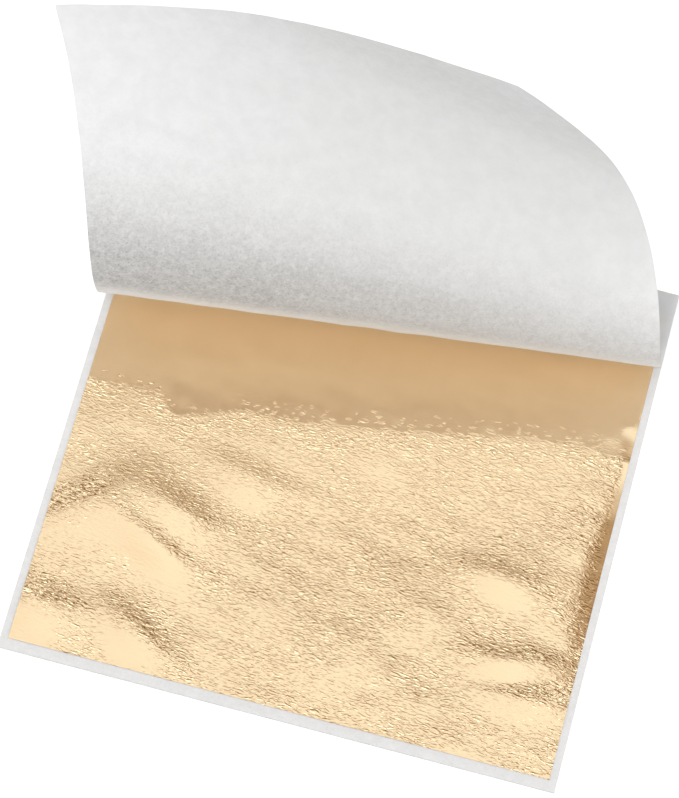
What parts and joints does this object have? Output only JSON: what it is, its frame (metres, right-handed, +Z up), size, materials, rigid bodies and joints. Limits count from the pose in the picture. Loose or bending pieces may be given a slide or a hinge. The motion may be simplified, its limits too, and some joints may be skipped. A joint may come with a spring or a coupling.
{
  "type": "gold leaf booklet",
  "caption": "Booklet of crinkled imitation gold leaf between white tissue pages glued along one edge, with the top page peeled back in a curl over the exposed leaf.",
  "frame": {"origin": "centre of the back page's underside", "axes": "+X along the glued edge to the right, +Y from the front edge to the glued edge, +Z up through the pages"},
  "size_m": [0.1717, 0.1957, 0.0717],
  "materials": {
    "gold_leaf": "bright, finely crinkled beaten metal leaf",
    "tissue": "matt, thin, slightly see-through interleaving tissue",
    "glue": "dried clear padding glue"
  },
  "bodies": {
    "booklet": {"page_02": "tissue", "page_03": "tissue", "page_04": "tissue", "page_05": "tissue", "page_06": "tissue", "page_07": "tissue", "page_08": "tissue", "page_09": "tissue", "page_10": "tissue", "page_11": "tissue", "leaf_02": "gold_leaf", "leaf_03": "gold_leaf", "leaf_04": "gold_leaf", "leaf_05": "gold_leaf", "leaf_06": "gold_leaf", "leaf_07": "gold_leaf", "leaf_08": "gold_leaf", "leaf_09": "gold_leaf", "leaf_10": "gold_leaf", "page_01_bound_edge": "tissue", "glued_edge": "glue"},
    "top_leaf": {"leaf_01": "gold_leaf"},
    "page_part_01": {"page_01_strip_01": "tissue"},
    "page_part_02": {"page_01_strip_02": "tissue"},
    "page_part_03": {"page_01_strip_03": "tissue"},
    "page_part_04": {"page_01_strip_04": "tissue"},
    "page_part_05": {"page_01_strip_05": "tissue"},
    "page_part_06": {"page_01_strip_06": "tissue"},
    "page_part_07": {"page_01_strip_07": "tissue"},
    "page_part_08": {"page_01_strip_08": "tissue"},
    "page_part_09": {"page_01_strip_09": "tissue"},
    "page_part_10": {"page_01_strip_10": "tissue"}
  },
  "joints": [
    {"name": "page_fold_01", "type": "hinge", "parent": "booklet", "child": "page_part_01", "pos_m": [0, 0.04953, 0.0011], "axis": [-0.9939, -0.1101, 0], "range_deg": [-22.7, 0]},
    {"name": "page_fold_02", "type": "hinge", "parent": "page_part_01", "child": "page_part_02", "pos_m": [-0.00007, 0.0423, 0.0041], "axis": [-0.99, -0.1407, 0.0129], "range_deg": [-22.7, 0]},
    {"name": "page_fold_03", "type": "hinge", "parent": "page_part_02", "child": "page_part_03", "pos_m": [-0.00036, 0.03635, 0.01004], "axis": [-0.9855, -0.1653, 0.0383], "range_deg": [-22.7, 0]},
    {"name": "page_fold_04", "type": "hinge", "parent": "page_part_03", "child": "page_part_04", "pos_m": [-0.0011, 0.03282, 0.01845], "axis": [-0.9811, -0.1791, 0.0736], "range_deg": [-22.7, 0]},
    {"name": "page_fold_05", "type": "hinge", "parent": "page_part_04", "child": "page_part_05", "pos_m": [-0.00254, 0.03268, 0.02843], "axis": [-0.9773, -0.1779, 0.1149], "range_deg": [-22.7, 0]},
    {"name": "page_fold_06", "type": "hinge", "parent": "page_part_05", "child": "page_part_06", "pos_m": [-0.00503, 0.03666, 0.03879], "axis": [-0.9748, -0.159, 0.1563], "range_deg": [-22.7, 0]},
    {"name": "page_fold_07", "type": "hinge", "parent": "page_part_06", "child": "page_part_07", "pos_m": [-0.00901, 0.04522, 0.048], "axis": [-0.974, -0.1214, 0.1911], "range_deg": [-22.7, 0]},
    {"name": "page_fold_08", "type": "hinge", "parent": "page_part_07", "child": "page_part_08", "pos_m": [-0.01518, 0.05861, 0.05427], "axis": [-0.9752, -0.0652, 0.2115], "range_deg": [-22.7, 0]},
    {"name": "page_fold_09", "type": "hinge", "parent": "page_part_08", "child": "page_part_09", "pos_m": [-0.01349, 0.0772, 0.05275], "axis": [-0.9782, 0.0088, 0.2075], "range_deg": [-22.7, 0]},
    {"name": "page_fold_10", "type": "hinge", "parent": "page_part_09", "child": "page_part_10", "pos_m": [0.00565, 0.09948, 0.03739], "axis": [-0.9815, 0.1071, 0.1588], "range_deg": [-22.7, 0]},
    {"name": "leaf_slide", "type": "slide", "parent": "booklet", "child": "top_leaf", "axis": [0, -1, 0], "range_m": [0, 0.15]}
  ]
}
